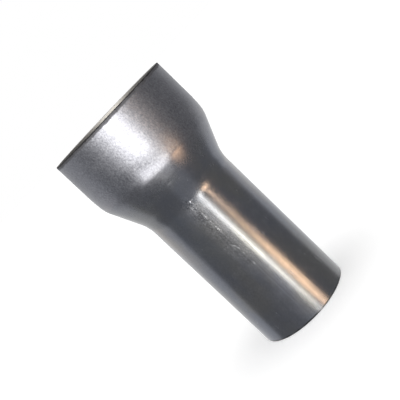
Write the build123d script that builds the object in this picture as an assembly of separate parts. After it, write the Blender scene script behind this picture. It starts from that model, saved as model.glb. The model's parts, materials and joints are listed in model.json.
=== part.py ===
from build123d import *
import math
import os

# Exhaust pipe reducer: one length of round steel tube, expanded at its upper end
# into a socket that slips over a larger pipe. It stands on its narrow end, with
# +Z up the tube and the origin at the centre of the narrow rim. Millimetres.

# Whole piece
overall_length = 152.4

# Wide end: a socket for a 3 inch pipe, stretched thin by the expanding tool
pipe_diameter = 76.2
slip_clearance = 0.15
socket_wall = 1.15
socket_depth = 28.0

# Narrow end: the tube as it was drawn, 2 1/4 inch outside
spigot_diameter = 57.15
spigot_wall = 1.5

# Transition: a straight cone between two bends that are tangent to both walls
cone_half_angle = 23.2
shoulder_bend_radius = 29.0
foot_bend_radius = 14.0

# Both rims are sawn square and deburred, inside and outside
rim_deburr = 0.3

# The bends leave this share of the cone straight, and a rim this share of its wall flat
least_straight_share = 0.1
least_flat_share = 0.3

# Outside and inside radii of the two straight ends
socket_bore_radius = pipe_diameter / 2 + slip_clearance
socket_radius = socket_bore_radius + socket_wall
spigot_radius = spigot_diameter / 2
spigot_bore_radius = spigot_radius - spigot_wall

# A bend of radius r uses r * tan(half its turn) of the straight on each side of its corner
turn = math.radians(cone_half_angle)
corner_reach = math.tan(turn / 2)


def bend_radii(cone_slant, shoulder, foot):
    """Both bend radii, made smaller together where the cone between them is too short."""
    used = (shoulder + foot) * corner_reach
    room = cone_slant * (1 - least_straight_share)
    share = min(1, room / used)
    return shoulder * share, foot * share


# The outside line turns twice: at the shoulder corner and at the foot corner
outer_slant = (socket_radius - spigot_radius) / math.sin(turn)
outer_shoulder_bend, outer_foot_bend = bend_radii(outer_slant, shoulder_bend_radius, foot_bend_radius)
shoulder_corner = overall_length - socket_depth - outer_shoulder_bend * corner_reach
foot_corner = shoulder_corner - outer_slant * math.cos(turn)

# The inside line follows it one wall further in, so its corners lie a little higher
inner_shoulder_corner = shoulder_corner + socket_wall * corner_reach
inner_foot_corner = foot_corner + spigot_wall * corner_reach
inner_shoulder_bend = outer_shoulder_bend - socket_wall
inner_foot_bend = outer_foot_bend + spigot_wall


def wall_line(wide_radius, narrow_radius, wide_corner, narrow_corner, wide_bend, narrow_bend):
    """One face of the wall in section, from the mouth down to the narrow rim, with its two bends."""
    return FilletPolyline(
        (wide_radius, overall_length),
        (wide_radius, wide_corner),
        (narrow_radius, narrow_corner),
        (narrow_radius, 0),
        radius=[wide_bend, narrow_bend],
    )


def rim_corners(section, height):
    """The inside and outside corner of the rim at a height, in the half section."""
    return [corner for corner in section.vertices() if abs(corner.Y - height) < 1e-6]


def reducer_body():
    """The whole fitting: its half section turned once about the tube's axis."""
    with BuildPart() as body:
        with BuildSketch(Plane.XZ) as section:
            with BuildLine():
                outside = wall_line(
                    socket_radius,
                    spigot_radius,
                    shoulder_corner,
                    foot_corner,
                    outer_shoulder_bend,
                    outer_foot_bend,
                )
                inside = wall_line(
                    socket_bore_radius,
                    spigot_bore_radius,
                    inner_shoulder_corner,
                    inner_foot_corner,
                    inner_shoulder_bend,
                    inner_foot_bend,
                )
                Line(outside @ 0, inside @ 0)
                Line(outside @ 1, inside @ 1)
            make_face()
            for height, wall in ((overall_length, socket_wall), (0, spigot_wall)):
                deburr = min(rim_deburr, wall * (1 - least_flat_share) / 2)
                chamfer(rim_corners(section, height), deburr)
        revolve(axis=Axis.Z)
    return body.part


os.makedirs("parts", exist_ok=True)
export_step(reducer_body(), "parts/reducer_body.step")
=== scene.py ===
"""An exhaust pipe reducer: one steel tube, expanded at its upper end into a socket, on a pale floor."""

import json
import math

import bpy
import numpy as np
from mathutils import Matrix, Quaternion, Vector


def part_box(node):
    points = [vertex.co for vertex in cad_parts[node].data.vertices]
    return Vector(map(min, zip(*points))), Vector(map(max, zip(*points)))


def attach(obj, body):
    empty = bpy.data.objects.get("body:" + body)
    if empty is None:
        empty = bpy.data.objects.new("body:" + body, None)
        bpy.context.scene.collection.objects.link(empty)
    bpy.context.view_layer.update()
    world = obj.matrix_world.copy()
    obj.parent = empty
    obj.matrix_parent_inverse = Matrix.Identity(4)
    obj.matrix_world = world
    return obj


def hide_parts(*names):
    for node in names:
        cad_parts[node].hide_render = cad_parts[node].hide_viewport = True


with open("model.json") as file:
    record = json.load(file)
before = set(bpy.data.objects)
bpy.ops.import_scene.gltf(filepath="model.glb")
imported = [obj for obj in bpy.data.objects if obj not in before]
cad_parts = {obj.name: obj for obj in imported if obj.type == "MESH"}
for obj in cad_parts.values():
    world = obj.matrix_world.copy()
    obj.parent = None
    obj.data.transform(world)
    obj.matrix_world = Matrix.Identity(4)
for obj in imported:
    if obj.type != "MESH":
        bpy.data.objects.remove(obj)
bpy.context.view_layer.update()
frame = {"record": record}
mm = 0.001


# The reducer. The real piece is a length of welded steel tube: an expanding tool pushed
# into its upper end has stretched that end into a socket, with a cone below it, and both
# ends are sawn square. It is one wall, turned from its section.
mount = {one["name"]: one["dims"] for one in frame["record"]["mounts"]}
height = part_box("reducer_body")[1][2]
socket_outside = mount["socket_outside"]["r_mm"] * mm
socket_inside = mount["socket"]["r_mm"] * mm
spigot_outside = mount["spigot"]["r_mm"] * mm
spigot_inside = mount["spigot_bore"]["r_mm"] * mm
rim_deburr = 0.3 * mm
cone_turn = math.radians(23.2)
corner_reach = math.tan(cone_turn / 2)

# The solid turns into the cone over one arc of 29 mm and out of it over one of 14 mm. Here
# the shoulder leads in over a long arc before its tight one, and the foot is rounder. That
# is a guess, set together with the panels. Both stay within 0.25 mm of the solid.
solid_shoulder_bend = 29.0 * mm
lead_turn = math.radians(6)
lead_bend = 90.0 * mm
shoulder_bend = 18.0 * mm
foot_bend = 24.0 * mm
socket_floor = height - mount["socket_outside"]["length_mm"] * mm - rim_deburr
shoulder_corner = socket_floor - solid_shoulder_bend * corner_reach
foot_corner = shoulder_corner - (socket_outside - spigot_outside) / math.tan(cone_turn)
spigot_top = foot_corner - foot_bend * corner_reach


def wall_face(heights, wide, narrow, lift, shoulder_rounds, foot_round):
    """Radius of one face of the wall at each height: narrow below the foot's arc, which leaves the
    spigot as r * (1 - cos(lean)); then the cone, radius = narrow + (height - corner) * tan(turn);
    then the shoulder, a tight arc and a long one that leads into the socket, by the same rule. Both
    corners are lifted by the wall's thickness there * corner_reach, which keeps the inner face
    parallel to the outer."""
    foot = foot_corner + lift[0] * corner_reach
    shoulder = foot + (wide - narrow) / math.tan(cone_turn)
    foot_start = foot - foot_round * corner_reach
    lead_round, tight_round = shoulder_rounds
    lead_drop = lead_round * math.sin(lead_turn)
    tight_drop = tight_round * (math.sin(cone_turn) - math.sin(lead_turn))
    inward = lead_round * (1 - math.cos(lead_turn))
    inward = inward + tight_round * (math.cos(lead_turn) - math.cos(cone_turn))
    cone_top = shoulder - inward / math.tan(cone_turn)
    down = cone_top + tight_drop + lead_drop - heights
    foot_lean = np.arcsin(np.clip((heights - foot_start) / foot_round, 0, math.sin(cone_turn)))
    lead_lean = np.arcsin(np.clip(down / lead_round, 0, math.sin(lead_turn)))
    tight_sine = math.sin(lead_turn) + (down - lead_drop) / tight_round
    tight_lean = np.arcsin(np.clip(tight_sine, math.sin(lead_turn), math.sin(cone_turn)))
    return np.select(
        [
            heights < foot + foot_round * corner_reach * math.cos(cone_turn),
            heights < cone_top,
        ],
        [
            narrow + foot_round * (1 - np.cos(foot_lean)),
            narrow + (heights - foot) * math.tan(cone_turn),
        ],
        wide
        - lead_round * (1 - np.cos(lead_lean))
        - tight_round * (math.cos(lead_turn) - np.cos(tight_lean)),
    )


def rim(outside, inside, level, way):
    """Radius and height along a rim from its outer face to its inner one: a deburred corner at 45
    degrees, the sawn flat and the other corner, with a close point beside each edge to hold it."""
    close = 0.05 * mm
    crown = 0.004 * mm
    radii = [outside, outside - close, outside - rim_deburr, outside - rim_deburr - close]
    radii += [inside + rim_deburr + close, inside + rim_deburr, inside + close, inside]
    depths = [rim_deburr, rim_deburr - close, crown, 0]
    return np.array([radii, level - way * np.array(depths + depths[::-1])]).T


def rows_between(levels, counts):
    """Heights from the first level to the last, with a count of even steps from each to the next."""
    spans = zip(levels, levels[1:], counts)
    steps = [np.linspace(start, end, count + 1)[:-1] for start, end, count in spans]
    return np.concatenate(steps + [levels[-1:]])


# Rows lie closest where the weld seam is knocked and in the bends.
rim_gap = rim_deburr + 0.1 * mm
knocks_from = 40 * mm
foot_end = 94 * mm
outer_levels = [rim_gap, knocks_from, spigot_top, foot_end, socket_floor, height - rim_gap]
outer_heights = rows_between(outer_levels, (41, 125, 30, 65, 33))
inner_levels = [height - rim_gap, socket_floor, spigot_top, rim_gap]
inner_heights = rows_between(inner_levels, (7, 25, 11))
outer_radii = wall_face(
    outer_heights,
    socket_outside,
    spigot_outside,
    (0, 0),
    (lead_bend, shoulder_bend),
    foot_bend,
)
socket_wall = socket_outside - socket_inside
spigot_wall = spigot_outside - spigot_inside
inner_radii = wall_face(
    inner_heights,
    socket_inside,
    spigot_inside,
    (spigot_wall, socket_wall),
    (lead_bend - socket_wall, shoulder_bend - socket_wall),
    foot_bend + spigot_wall,
)
section = np.concatenate(
    [
        np.array([outer_radii, outer_heights]).T,
        rim(socket_outside, socket_inside, height, 1),
        np.array([inner_radii, inner_heights]).T,
        rim(spigot_outside, spigot_inside, 0, -1)[::-1],
    ]
)

# The inner face begins and ends with the inner edge of each rim's flat.
rim_outer_points = 5
rim_inner_points = 3
first_inside = len(outer_heights) + rim_outer_points
last_inside = first_inside + rim_inner_points + len(inner_heights) + rim_inner_points
row_number = np.arange(len(section))
inside_rows = (row_number >= first_inside) & (row_number < last_inside)

# Columns are 1.5 degrees apart, and a third of that along the weld seam, which faces the camera.
seam_side = math.radians(-94.7)
seam_half = 0.19
close_columns = np.linspace(-seam_half, seam_half, 45)
wide_columns = np.linspace(seam_half, 2 * np.pi - seam_half, 220)[1:-1]
angles = seam_side + np.concatenate([close_columns, wide_columns])
around, along = np.meshgrid(angles, section[:, 1])
radii = np.repeat(section[:, :1], len(angles), axis=1)
outside = ~inside_rows[:, None] & (along > rim_gap) & (along < height - rim_gap)

# The expander's fingers leave very faint flats in the socket and the cone:
# depth = flat * (1 - cos(fingers * angle)) / 2, coming in over the cone.
fingers = 12
finger_flat = 0.015 * mm
worked = np.clip((along - spigot_top) / (socket_floor - spigot_top), 0, 1)
sunk = finger_flat * (1 - np.cos(fingers * around)) / 2 * worked * outside

# The weld seam runs up the whole tube there. It has been planed off, which leaves a shallow
# groove and, on the spigot, a row of knocks. Each knock is its height, its place across
# the seam, its length up the tube, its width and its depth in mm, and its slant. A dent is
# exp(-(rise / half length)^2 - (side / half width)^2), and the groove exp(-(side / half width)^2).
groove_depth = 0.02 * mm
groove_half = 0.5
knocks = (
    (106.4, 0.0, 0.8, 3.0, 0.03, 0.0),
    (91.6, 0.1, 0.9, 3.4, 0.12, 0.0),
    (90.2, 0.2, 3.6, 0.7, 0.03, -0.1),
    (88.4, -1.9, 3.0, 0.7, 0.015, 0.2),
    (80.6, -0.2, 2.6, 1.3, 0.055, 0.0),
    (71.2, -0.1, 3.0, 1.1, 0.055, 0.0),
    (58.6, -1.0, 3.4, 0.9, 0.06, -0.5),
    (56.0, -0.1, 1.8, 0.9, 0.035, -0.3),
    (52.1, -0.1, 1.2, 0.7, 0.02, 0.0),
    (44.3, -0.1, 2.0, 0.9, 0.035, 0.0),
)
across = (around - seam_side + np.pi) % (2 * np.pi) - np.pi
across = across * radii / mm
up = along / mm
sunk = sunk + groove_depth * np.exp(-((across / groove_half) ** 2)) * outside
knocked = np.zeros_like(up)
for knock_up, aside, length, width, depth, slant in knocks:
    rise = up - knock_up
    dent = np.exp(-((rise * 2 / length) ** 2) - ((across - aside - slant * rise) * 2 / width) ** 2)
    knocked = np.maximum(knocked, dent)
    sunk = sunk + depth * mm * dent * outside
radii = radii - sunk

# Handling has scuffed the spigot to one side of the seam, more and more towards the cone.
scuff_side = -1.6
scuff_half = 3.2
scuff_from = 40
scuff_full = 85
scuff_end = 96
scuff_fade = 4
scuffed = np.exp(-(((across - scuff_side) / scuff_half) ** 2))
scuffed = scuffed * np.clip((up - scuff_from) / (scuff_full - scuff_from), 0, 1)
scuffed = scuffed * np.clip((scuff_end - up) / scuff_fade, 0, 1)

rows, columns = radii.shape
points = np.stack([radii * np.cos(around), radii * np.sin(around), along], axis=-1).reshape(-1, 3)
row, column = np.meshgrid(np.arange(rows), np.arange(columns), indexing="ij")
row_above = (row + 1) % rows
column_next = (column + 1) % columns
faces = np.stack(
    [
        row * columns + column,
        row * columns + column_next,
        row_above * columns + column_next,
        row_above * columns + column,
    ],
    axis=-1,
).reshape(-1, 4)
tube_mesh = bpy.data.meshes.new("reducer_tube")
tube_mesh.from_pydata(points, [], faces)
tube_mesh.polygons.foreach_set("use_smooth", np.ones(len(faces), dtype=bool))
marks = {
    "inner_wall": np.repeat(inside_rows[:, None], columns, axis=1),
    "knocked": knocked * outside,
    "scuffed": scuffed * outside,
}
for name, amount in marks.items():
    mark = tube_mesh.attributes.new(name, "FLOAT", "POINT")
    mark.data.foreach_set("value", amount.ravel().astype(np.float32))
tube_mesh.update()
reducer = bpy.data.objects.new("reducer_tube", tube_mesh)
bpy.context.scene.collection.objects.link(reducer)


class Wire:
    """One output of a shader node, so that shader maths reads as arithmetic."""

    def __init__(self, tree, socket):
        self.tree = tree
        self.socket = socket

    def node(self, kind, settings=None, output=0, **values):
        """A new node of a kind, its settings set first, then its sockets by name or as _number."""
        made = self.tree.nodes.new(kind)
        for name, value in (settings or {}).items():
            setattr(made, name, value)
        for name, value in values.items():
            place = int(name[1:]) if name[0] == "_" else name.replace("_", " ")
            socket = made.inputs[place]
            if isinstance(value, Wire):
                self.tree.links.new(value.socket, socket)
            else:
                socket.default_value = value
        return Wire(self.tree, made.outputs[output])

    def math(self, operation, one, other=0.0):
        return self.node("ShaderNodeMath", {"operation": operation}, _0=one, _1=other)

    def __add__(self, other):
        return self.math("ADD", self, other)

    def __radd__(self, other):
        return self.math("ADD", other, self)

    def __sub__(self, other):
        return self.math("SUBTRACT", self, other)

    def __rsub__(self, other):
        return self.math("SUBTRACT", other, self)

    def __mul__(self, other):
        return self.math("MULTIPLY", self, other)

    def __rmul__(self, other):
        return self.math("MULTIPLY", other, self)

    def above(self, low, high):
        """0 below low, 1 above high, and a smooth step between; the other way where low > high."""
        return self.node(
            "ShaderNodeMapRange",
            {"interpolation_type": "SMOOTHSTEP"},
            Value=self,
            From_Min=low,
            From_Max=high,
        )

    def noise(self, scale, detail=2.0, roughness=0.5, stretch=1.0):
        """Noise about 0.5 at a scale per metre, drawn out along Z by stretch."""
        shrink = (1, 1, 1 / stretch)
        place = self.node("ShaderNodeVectorMath", {"operation": "MULTIPLY"}, _0=self, _1=shrink)
        return self.node("ShaderNodeTexNoise", Vector=place, Scale=scale, Detail=detail, Roughness=roughness)

    def blend(self, share, one, other):
        """One colour mixed with another by a share of the other."""
        return self.node("ShaderNodeMix", {"data_type": "RGBA"}, output=2, _0=share, _6=one, _7=other)

    def tint(self, share, colour):
        """This colour, mixed with another one by a share."""
        return self.blend(share, self, colour)

    def attribute(self, name):
        """A number that each point of the mesh carries under a name."""
        return self.node("ShaderNodeAttribute", {"attribute_name": name}, output=2)

    def seen(self):
        """1 for rays straight from the camera, off metal or through glass, and 0 for the others."""
        camera_ray, glossy_ray, through_ray = [
            self.node("ShaderNodeLightPath", output=ray) for ray in (0, 3, 6)
        ]
        return self.math("MAXIMUM", self.math("MAXIMUM", camera_ray, glossy_ray), through_ray)


# Its steel is bare and dark, blue-grey from the mill. The spigot is smooth, with the fine
# lines of drawing; the expanded end is rougher, with the grain that stretching brings up.
# How dark it is was set together with the grey cloth, since one makes up for the other.
steel = bpy.data.materials.new("drawn_steel")
steel.use_nodes = True
shader = steel.node_tree.nodes["Principled BSDF"]
shader.inputs["Metallic"].default_value = 1.0
start = Wire(steel.node_tree, None)
place = start.node("ShaderNodeTexCoord", output=3)
level = start.node("ShaderNodeSeparateXYZ", output=2, Vector=place)
inner_wall = start.attribute("inner_wall")
knock = start.attribute("knocked")
scuff = start.attribute("scuffed")
stretched = level.above(100 * mm, 122 * mm)
cloud = place.noise(55, detail=3, stretch=2)
blotch = place.noise(160, detail=4, roughness=0.6)
draw_lines = place.noise(1500, detail=3, roughness=0.6, stretch=60)
grain = place.noise(620, detail=4, roughness=0.65)
fine_grain = place.noise(2200, detail=2)
specks = place.noise(1300, detail=3, roughness=0.7, stretch=1.3)

# Mill scale clouds from blue to grey, evens out where the steel was stretched, and is rubbed
# bright in faint blotches. The knocks are rubbed bright and carry a painted glint as well.
# Bright and dark specks show most in the scuffs.
mill_blue = (0.151, 0.161, 0.190, 1)
mill_grey = (0.173, 0.176, 0.183, 1)
worked_steel = (0.162, 0.168, 0.193, 1)
bright_steel = (0.45, 0.46, 0.49, 1)
# Near-black for the dark specks, and for the painted shade of the ring and the rims.
dark_speck_and_rim_shade = (0.028, 0.028, 0.030, 1)
rubbed = 0.06
knock_wear_and_glint = 0.5
speckled = stretched * 0.22 + scuff * 0.5 + 0.1
bright_specks = specks.above(0.5, 0.66) * speckled * 0.5
dark_specks = specks.above(0.5, 0.34) * speckled * 0.9
colour = start.blend(cloud.above(0.35, 0.65), mill_blue, mill_grey)
colour = colour.tint(stretched, worked_steel)
colour = colour.tint(blotch.above(0.52, 0.75) * rubbed, bright_steel)
# The knocks: rubbed steel, with a painted glint.
colour = colour.tint(knock * knock_wear_and_glint, bright_steel)
colour = colour.tint(bright_specks, bright_steel)
colour = colour.tint(dark_specks, dark_speck_and_rim_shade)

# The inside is painted lighter than the outer steel, as painted light in the tube, and less so
# near the mouth. A ragged ring below the mouth is rougher and painted darker as shade, faint on
# the inside, and both rims carry a painted dark line of shade.
painted_light_inside = (0.42, 0.41, 0.40, 1)
inside_mouth_steel = (0.222, 0.217, 0.212, 1)
raggedness = 1.6 * mm
ring_painted_shade = 0.58
ring_missing_inside = 0.75
ragged = level + (place.noise(260, detail=3) - 0.5) * raggedness
ring_shown = 1 - inner_wall * ring_missing_inside
# The ring is rougher; its darkening below is painted shade.
ground_ring = ragged.above(height - 2.4 * mm, height - 1.5 * mm) * ring_shown
mouth_band = level.above(height - 22 * mm, height - 8 * mm)
# Painted shade: a dark line along the mouth's outer edge and all round the foot's rim.
rim_painted_shade = ragged.above(height - 0.9 * mm, height - 0.5 * mm) * (1 - inner_wall)
rim_painted_shade = rim_painted_shade + ragged.above(0.9 * mm, 0.4 * mm)
# Painted light: the inside is lighter than the outer steel, less so near the mouth.
colour = colour.tint(inner_wall, painted_light_inside)
colour = colour.tint(inner_wall * mouth_band, inside_mouth_steel)
# Painted shade on the ring and the rims.
colour = colour.tint(ground_ring * ring_painted_shade, dark_speck_and_rim_shade)
colour = colour.tint(rim_painted_shade, dark_speck_and_rim_shade)
steel.node_tree.links.new(colour.socket, shader.inputs["Base Color"])

# It is roughest at the mouth, where it was stretched most.
drawn_rough = 0.235
stretched_rough = 0.12
mouth_rough = 0.085
mottle = 0.12
ring_rough = 0.3
inner_rough = 0.05
speck_rough = 0.3
mouth = level.above(118 * mm, 145 * mm)
gloss = drawn_rough + stretched * stretched_rough + mouth * mouth_rough
gloss = gloss + (blotch - 0.5) * mottle + (draw_lines - 0.5) * mottle + ground_ring * ring_rough
gloss = gloss + inner_wall * inner_rough + (specks - 0.5) * speckled * speck_rough
steel.node_tree.links.new(gloss.socket, shader.inputs["Roughness"])

# The draw lines fade out, and the grain comes up, where it was stretched.
line_relief = 0.3
fine_share = 0.4
stretched_relief = 1.6
spigot_relief = 0.15
scuff_relief = 0.3
smooth_inside = 0.75
relief_depth = 0.03 * mm
relief = draw_lines * (1 - stretched) * line_relief
relief = relief + (grain + fine_grain * fine_share) * (stretched * stretched_relief + spigot_relief)
relief = relief + scuff * specks * scuff_relief
relief = relief * (1 - inner_wall * smooth_inside)
bump = start.node("ShaderNodeBump", Strength=1.0, Distance=relief_depth, Height=relief)
steel.node_tree.links.new(bump.socket, shader.inputs["Normal"])
reducer.data.materials.append(steel)
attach(reducer, "root")
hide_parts("reducer_body")


# The floor: a wide sheet of pale paper under the reducer. It keeps the reducer's shadow, and
# where it is seen it is lifted to white, as the photo's background is. The steel doesn't
# show it, and it shades nothing: the lamps that the spigot mirrors shine from below its level.
floor_reach = 8.0
paper_white = (0.8, 0.8, 0.8, 1)
paper_lift = 0.33
floor_mesh = bpy.data.meshes.new("floor")
floor_corners = [(-floor_reach, -floor_reach, 0), (floor_reach, -floor_reach, 0)]
floor_corners += [(floor_reach, floor_reach, 0), (-floor_reach, floor_reach, 0)]
floor_mesh.from_pydata(floor_corners, [], [(0, 1, 2, 3)])
floor = bpy.data.objects.new("floor", floor_mesh)
bpy.context.scene.collection.objects.link(floor)
paper = bpy.data.materials.new("floor_paper")
paper.use_nodes = True
paper.node_tree.nodes.clear()
start = Wire(paper.node_tree, None)
lit = start.node("ShaderNodeBsdfDiffuse", Color=paper_white)
lift = start.node("ShaderNodeEmission", Color=(1, 1, 1, 1), Strength=start.seen() * paper_lift)
both = start.node("ShaderNodeAddShader", _0=lit, _1=lift)
end = paper.node_tree.nodes.new("ShaderNodeOutputMaterial")
paper.node_tree.links.new(both.socket, end.inputs["Surface"])
floor_mesh.materials.append(paper)
floor.visible_glossy = False
floor.visible_shadow = False


# The studio's walls are white where they are seen directly or in the steel, and give the
# floor about a third of its light.
studio_glow = 0.3
world = bpy.data.worlds.new("studio")
bpy.context.scene.world = world
world.use_nodes = True
start = Wire(world.node_tree, None)
studio = world.node_tree.nodes["Background"]
studio.inputs["Color"].default_value = (1, 1, 1, 1)
strength = start.seen() * (1 - studio_glow) + studio_glow
world.node_tree.links.new(strength.socket, studio.inputs["Strength"])

# A broad lamp straight above gives the rest of the floor's light and a soft shadow.
overhead = bpy.data.objects.new("overhead", bpy.data.lights.new("overhead", "SUN"))
overhead.data.energy = 2.2
overhead.data.angle = math.radians(40)
bpy.context.scene.collection.objects.link(overhead)


# The camera's side of the studio is hung with grey cloth, which only the steel shows. It is
# part of a ball about the tube's foot. Beyond its two hems, each given as azimuths at
# elevations in degrees, and above it, the steel shows the white walls.
cloth_reach = 2.5
cloth_glow = 0.365
cloth_rows = 57
cloth_columns = 43
cloth_low = -80
cloth_high = 60
left_hem_up = (-24, -20, -8)
left_hem_side = (-108, -103, -90)
right_hem_up = (-21, -15, -10, -2)
right_hem_side = (116, 108, 108, 128)
cloth_up = np.radians(np.linspace(cloth_low, cloth_high, cloth_rows))[:, None]
cloth_share = np.linspace(0, 1, cloth_columns)[None, :]
cloth_left = np.radians(np.interp(np.degrees(cloth_up), left_hem_up, left_hem_side))
cloth_right = np.radians(np.interp(np.degrees(cloth_up), right_hem_up, right_hem_side))
cloth_across = cloth_left * (1 - cloth_share) + cloth_right * cloth_share
cloth_points = np.stack(
    [
        cloth_reach * np.sin(cloth_across) * np.cos(cloth_up),
        -cloth_reach * np.cos(cloth_across) * np.cos(cloth_up),
        cloth_reach * np.sin(cloth_up + 0 * cloth_share),
    ],
    axis=-1,
).reshape(-1, 3)
row, column = np.meshgrid(np.arange(cloth_rows - 1), np.arange(cloth_columns - 1), indexing="ij")
corner = row * cloth_columns + column
cloth_faces = np.stack([corner, corner + cloth_columns, corner + cloth_columns + 1, corner + 1], axis=-1)
cloth_mesh = bpy.data.meshes.new("grey_cloth")
cloth_mesh.from_pydata(cloth_points, [], cloth_faces.reshape(-1, 4))
cloth = bpy.data.objects.new("grey_cloth", cloth_mesh)
bpy.context.scene.collection.objects.link(cloth)
grey = bpy.data.materials.new("grey_cloth")
grey.use_nodes = True
grey.node_tree.nodes.clear()
start = Wire(grey.node_tree, None)
dim = start.node("ShaderNodeEmission", Color=(1, 1, 1, 1), Strength=cloth_glow)
end = grey.node_tree.nodes.new("ShaderNodeOutputMaterial")
grey.node_tree.links.new(dim.socket, end.inputs["Surface"])
cloth_mesh.materials.append(grey)
cloth.visible_camera = False
cloth.visible_diffuse = False
cloth.visible_shadow = False
cloth.visible_transmission = False


def soft_panel(name, across, up, reach, glow, colour=(1, 1, 1), level=60, lean=0):
    """A glowing panel that only the steel shows, upright and facing the tube at a reach from its
    axis, in mm. It fills the view from a point on the axis at a level, from one azimuth to another
    (0 is the camera's side) and from one elevation to another, all in degrees."""
    left, right = across
    low, high = up
    middle = math.radians((left + right) / 2)
    width = 2 * reach * math.tan(math.radians(right - left) / 2) * mm
    foot = level + reach * math.tan(math.radians(low))
    head = level + reach * math.tan(math.radians(high))
    tall = (head - foot) * mm
    data = bpy.data.lights.new(name, "AREA")
    data.shape = "RECTANGLE"
    data.size = width
    data.size_y = tall
    data.energy = glow * math.pi * width * tall
    data.color = colour
    panel = bpy.data.objects.new(name, data)
    bpy.context.scene.collection.objects.link(panel)
    panel.location = Vector((reach * math.sin(middle), -reach * math.cos(middle), (foot + head) / 2)) * mm
    panel.rotation_euler = (math.pi / 2, math.radians(lean), middle)
    panel.visible_camera = False
    panel.visible_diffuse = False
    return panel


# A bright window stands in front, which the socket mirrors, with a faint tail on the spigot.
far = 1500
daylight = (1.0, 0.96, 0.89)
soft_panel("front_window", (-31, 12), (6, 23), far, 30, daylight, lean=8)
soft_panel("front_window_low", (-13, 9), (2.4, 6), far, 19, daylight)
soft_panel("window_tail", (-9, 4), (-24, -9), far, 0.45)

# A white lamp and a warm one, each in two lengths, give the two strips up the spigot, and a
# small warm one the bright spot where the warm strip ends in the foot bend.
lamp_white = (1.0, 0.96, 0.86)
lamp_cream = (1.0, 0.94, 0.80)
lamp_pale = (1.0, 0.78, 0.60)
lamp_amber = (1.0, 0.65, 0.39)
lamp_spot = (1.0, 0.66, 0.40)
soft_panel("white_strip", (7, 17.5), (-15.5, -7), far, 9.2, lamp_white, lean=18)
soft_panel("white_strip_low", (9.5, 22.5), (-21.8, -15.5), far, 8.4, lamp_cream, lean=25)
soft_panel("warm_strip", (27, 42), (-18, -13), far, 0.5, lamp_pale)
soft_panel("warm_strip_low", (27, 43), (-22.6, -17), far, 13.6, lamp_amber)
soft_panel("warm_spot", (31, 37), (-8.9, -6.2), far, 20, lamp_spot)

# Two small ones close to the tube give the patches that the shoulder mirrors from below.
near = 55
shoulder_level = 118
lamplight = (1.0, 0.60, 0.33)
soft_panel("under_shoulder", (-24, 13), (-22.3, -3.5), near, 5.0, daylight, level=shoulder_level, lean=13)
soft_panel("warm_under_shoulder", (17, 32), (-26.5, -16), near, 5.2, lamplight, level=shoulder_level)

# The table before the tube, and the dim sides and walls of the room, glow faintly.
shade_blue = (0.7, 0.9, 1.0)
left_wall_warm = (1.0, 0.84, 0.70)
right_wall_warm = (1.0, 0.88, 0.76)
soft_panel("front_table", (-24, 34), (-62, -26), 600, 0.25)
soft_panel("left_light", (-90, -38), (-15, 12), 500, 0.05, shade_blue)
soft_panel("left_wall", (-150, -98), (-13, -7), far, 0.35, left_wall_warm)
soft_panel("right_wall", (98, 150), (-12, -7), far, 0.35, right_wall_warm)


# The camera stands where the photo's did: a little above the mouth, and turned so that the
# tube lies across the picture.
eye = Vector((0, -437.8, 161.5)) * mm
aim = Vector((-5.5, 0, 106.8)) * mm
roll = math.radians(-46.476)
camera = bpy.data.objects.new("camera", bpy.data.cameras.new("camera"))
bpy.context.scene.collection.objects.link(camera)
camera.location = eye
camera.rotation_mode = "QUATERNION"
camera.rotation_quaternion = (aim - eye).to_track_quat("-Z", "Y") @ Quaternion((0, 0, 1), roll)
camera.data.sensor_width = 36
camera.data.lens = 72.43
camera.data.shift_x = 0.1
camera.data.shift_y = -0.05
camera.data.clip_start = 0.01
bpy.context.scene.camera = camera
bpy.context.scene.view_settings.view_transform = "Standard"
